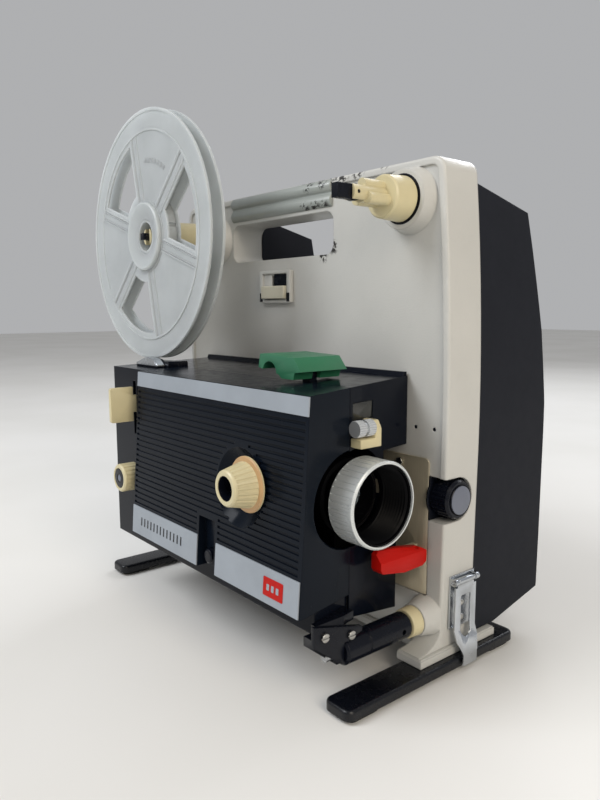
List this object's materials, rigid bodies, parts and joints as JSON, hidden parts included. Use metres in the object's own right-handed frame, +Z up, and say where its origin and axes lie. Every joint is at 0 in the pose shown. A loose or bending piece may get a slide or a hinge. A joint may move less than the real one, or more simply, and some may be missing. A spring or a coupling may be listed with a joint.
{
  "type": "film projector",
  "caption": "Upright film projector: cast frame with carrying window, ribbed side cover, barrel lens, two spindles and a take-up reel.",
  "frame": {"origin": "middle of the bounding box on the floor, below the feet", "axes": "+X the way the lens projects, +Z up, -Y the operator's side with the reel and the ribbed cover"},
  "size_m": [0.3275, 0.211, 0.3522],
  "materials": {
    "frame_enamel": "fine textured light grey-cream enamel on cast metal",
    "base_grey": "satin grey-cream enamel",
    "navy_shell": "matt dark navy moulded plastic with a fine grain",
    "black_shell": "semi-gloss black moulded plastic",
    "ribbed_black": "glossy black plastic with horizontal ribs",
    "brushed_trim": "horizontally brushed anodised aluminium",
    "lens_silver": "satin turned aluminium",
    "lens_black": "anti-reflection matt black",
    "optical_glass": "coated optical glass",
    "smoked_glass": "smoked transparent plastic",
    "lamp_glass": "clear quartz bulb in a dichroic mirror",
    "gate_steel": "brushed stainless steel",
    "screw_steel": "bright plated steel",
    "latch_steel": "bright plated pressed steel",
    "knob_black": "black moulded plastic",
    "ivory_plastic": "ivory moulded plastic",
    "green_plastic": "green moulded plastic",
    "red_plastic": "red moulded plastic",
    "reel_plastic": "light grey moulded plastic",
    "foot_enamel": "satin black enamel on steel bar",
    "pad_rubber": "soft black rubber",
    "belt_rubber": "black drive-belt rubber",
    "shaft_steel": "ground steel",
    "motor_can": "grey painted pressed steel",
    "fan_plastic": "dark grey moulded plastic",
    "socket_ceramic": "unglazed white ceramic",
    "core_steel": "laminated transformer steel"
  },
  "bodies": {
    "projector": {"main_frame": "frame_enamel", "base_tray": "base_grey", "handle_grip": "base_grey", "back_cover": "navy_shell", "power_inlet": "knob_black", "rear_foot": "foot_enamel", "rear_foot_pads": "pad_rubber", "tilt_bush": "ivory_plastic", "tilt_bracket": "knob_black", "mechanism_housing": "black_shell", "lens_mount": "lens_black", "gate_plate": "gate_steel", "slotted_screws": "screw_steel", "aperture_plate": "gate_steel", "threading_bracket": "ivory_plastic", "window_glass": "smoked_glass", "film_guide": "knob_black", "switch_bezel": "base_grey", "knob_well_liner": "knob_black", "catch_seats": "latch_steel", "motor": "motor_can", "motor_belt": "belt_rubber", "shutter_belt": "belt_rubber", "projection_lamp": "lamp_glass", "lamp_socket": "socket_ceramic", "transformer": "core_steel"},
    "front_foot": {"front_foot": "foot_enamel", "front_foot_pads": "pad_rubber"},
    "tilt_control": {"tilt_sleeve": "knob_black", "tilt_pinion": "shaft_steel"},
    "ribbed_cover": {"ribbed_cover": "ribbed_black", "trim_plates": "brushed_trim"},
    "cover_latch": {"cover_latch_button": "knob_black"},
    "main_knob": {"main_knob": "ivory_plastic"},
    "rear_knob": {"rear_knob": "ivory_plastic"},
    "tab_lever": {"tab_lever": "ivory_plastic"},
    "loading_lever": {"loading_lever": "green_plastic"},
    "framing_lever": {"framing_lever": "red_plastic"},
    "lens_barrel": {"lens_barrel": "lens_black", "lens_elements": "optical_glass"},
    "focus_ring": {"focus_ring": "lens_silver", "lens_hood": "lens_black"},
    "slide_switch": {"slide_switch": "ivory_plastic"},
    "threading_roller": {"threading_roller": "shaft_steel"},
    "front_catch": {"front_catch": "latch_steel"},
    "rear_catch": {"rear_catch": "latch_steel"},
    "supply_spindle": {"supply_spindle": "ivory_plastic"},
    "supply_key": {"supply_key": "knob_black"},
    "takeup_spindle": {"takeup_spindle": "ivory_plastic", "reel_front_flange": "reel_plastic", "reel_rear_flange": "reel_plastic", "reel_core": "reel_plastic"},
    "takeup_key": {"takeup_key": "knob_black"},
    "motor_shaft": {"motor_shaft": "shaft_steel", "cooling_fan": "fan_plastic"},
    "lay_shaft": {"lay_shaft": "shaft_steel", "front_knob": "knob_black"},
    "shutter_shaft": {"shutter_shaft": "shaft_steel", "shutter": "lens_black"},
    "sprocket": {"sprocket": "fan_plastic"}
  },
  "joints": [
    {"name": "tilt_turn", "type": "hinge", "parent": "projector", "child": "tilt_control", "pos_m": [0.1439, -0.0455, 0.031], "axis": [0, -1, 0], "range_deg": [0, 190]},
    {"name": "foot_drop", "type": "slide", "parent": "projector", "child": "front_foot", "axis": [0, 0, -1], "range_m": [0, 0.0198]},
    {"name": "cover_off", "type": "slide", "parent": "projector", "child": "ribbed_cover", "axis": [0, -1, 0], "range_m": [0, 0.06]},
    {"name": "cover_latch_press", "type": "slide", "parent": "ribbed_cover", "child": "cover_latch", "axis": [0, 1, 0], "range_m": [0, 0.002], "stiffness_N_per_m": 300},
    {"name": "main_knob_turn", "type": "hinge", "parent": "ribbed_cover", "child": "main_knob", "pos_m": [0.098, -0.0855, 0.1166], "axis": [0, 1, 0], "range_deg": [-90, 90]},
    {"name": "rear_knob_turn", "type": "hinge", "parent": "projector", "child": "rear_knob", "pos_m": [-0.0571, -0.0855, 0.091], "axis": [0, 1, 0], "range_deg": [0, 270]},
    {"name": "tab_lever_press", "type": "hinge", "parent": "projector", "child": "tab_lever", "pos_m": [-0.0551, -0.0575, 0.144], "axis": [1, 0, 0], "range_deg": [0, 8], "stiffness_Nm_per_rad": 0.2},
    {"name": "loading_lever_press", "type": "hinge", "parent": "projector", "child": "loading_lever", "pos_m": [0.0959, -0.045, 0.1734], "axis": [0, -1, 0], "range_deg": [0, 5], "stiffness_Nm_per_rad": 0.2},
    {"name": "framing_turn", "type": "hinge", "parent": "projector", "child": "framing_lever", "pos_m": [0.1369, 0.0005, 0.067], "axis": [1, 0, 0], "range_deg": [-8, 8]},
    {"name": "lens_travel", "type": "slide", "parent": "projector", "child": "lens_barrel", "axis": [1, 0, 0], "range_m": [0, 0.00596]},
    {"name": "focus_turn", "type": "hinge", "parent": "lens_barrel", "child": "focus_ring", "pos_m": [0.1449, -0.0465, 0.1095], "axis": [1, 0, 0], "range_deg": [0, 180]},
    {"name": "switch_slide", "type": "slide", "parent": "projector", "child": "slide_switch", "axis": [0, 0, 1], "range_m": [0, 0.008]},
    {"name": "roller_spin", "type": "hinge", "parent": "projector", "child": "threading_roller", "pos_m": [0.1423, -0.0485, 0.1482], "axis": [0, 1, 0], "continuous": true},
    {"name": "front_catch_swing", "type": "hinge", "parent": "projector", "child": "front_catch", "pos_m": [0.1587, 0.0215, 0.053], "axis": [0, -1, 0], "range_deg": [0, 100]},
    {"name": "rear_catch_swing", "type": "hinge", "parent": "projector", "child": "rear_catch", "pos_m": [-0.1226, 0.0215, 0.053], "axis": [0, 1, 0], "range_deg": [0, 100]},
    {"name": "supply_spin", "type": "hinge", "parent": "projector", "child": "supply_spindle", "pos_m": [0.1259, -0.0055, 0.271], "axis": [0, 1, 0], "continuous": true},
    {"name": "supply_key_fold", "type": "hinge", "parent": "supply_spindle", "child": "supply_key", "pos_m": [0.1259, -0.0405, 0.271], "axis": [1, 0, 0], "range_deg": [0, 90]},
    {"name": "takeup_spin", "type": "hinge", "parent": "projector", "child": "takeup_spindle", "pos_m": [-0.0747, -0.0055, 0.2632], "axis": [0, 1, 0], "continuous": true},
    {"name": "takeup_key_fold", "type": "hinge", "parent": "takeup_spindle", "child": "takeup_key", "pos_m": [-0.0747, -0.0535, 0.2632], "axis": [1, 0, 0], "range_deg": [0, 90]},
    {"name": "motor_spin", "type": "hinge", "parent": "projector", "child": "motor_shaft", "pos_m": [0.0449, 0.0665, 0.066], "axis": [1, 0, 0], "continuous": true},
    {"name": "lay_shaft_spin", "type": "hinge", "parent": "projector", "child": "lay_shaft", "pos_m": [0.0649, 0.0155, 0.1014], "axis": [1, 0, 0], "continuous": true},
    {"name": "shutter_spin", "type": "hinge", "parent": "projector", "child": "shutter_shaft", "pos_m": [0.0249, -0.0355, 0.088], "axis": [1, 0, 0], "continuous": true},
    {"name": "sprocket_spin", "type": "hinge", "parent": "projector", "child": "sprocket", "pos_m": [0.0789, -0.0255, 0.15], "axis": [0, 1, 0], "continuous": true}
  ],
  "couplings": [
    {"joint": "tilt_turn", "follows": "foot_drop", "rad_per_m": 166.67},
    {"joint": "focus_turn", "follows": "lens_travel", "rad_per_m": 526.32},
    {"joint": "lay_shaft_spin", "follows": "motor_spin", "ratio": 0.4},
    {"joint": "shutter_spin", "follows": "motor_spin", "ratio": 0.4},
    {"joint": "sprocket_spin", "follows": "motor_spin", "ratio": 0.033333}
  ]
}
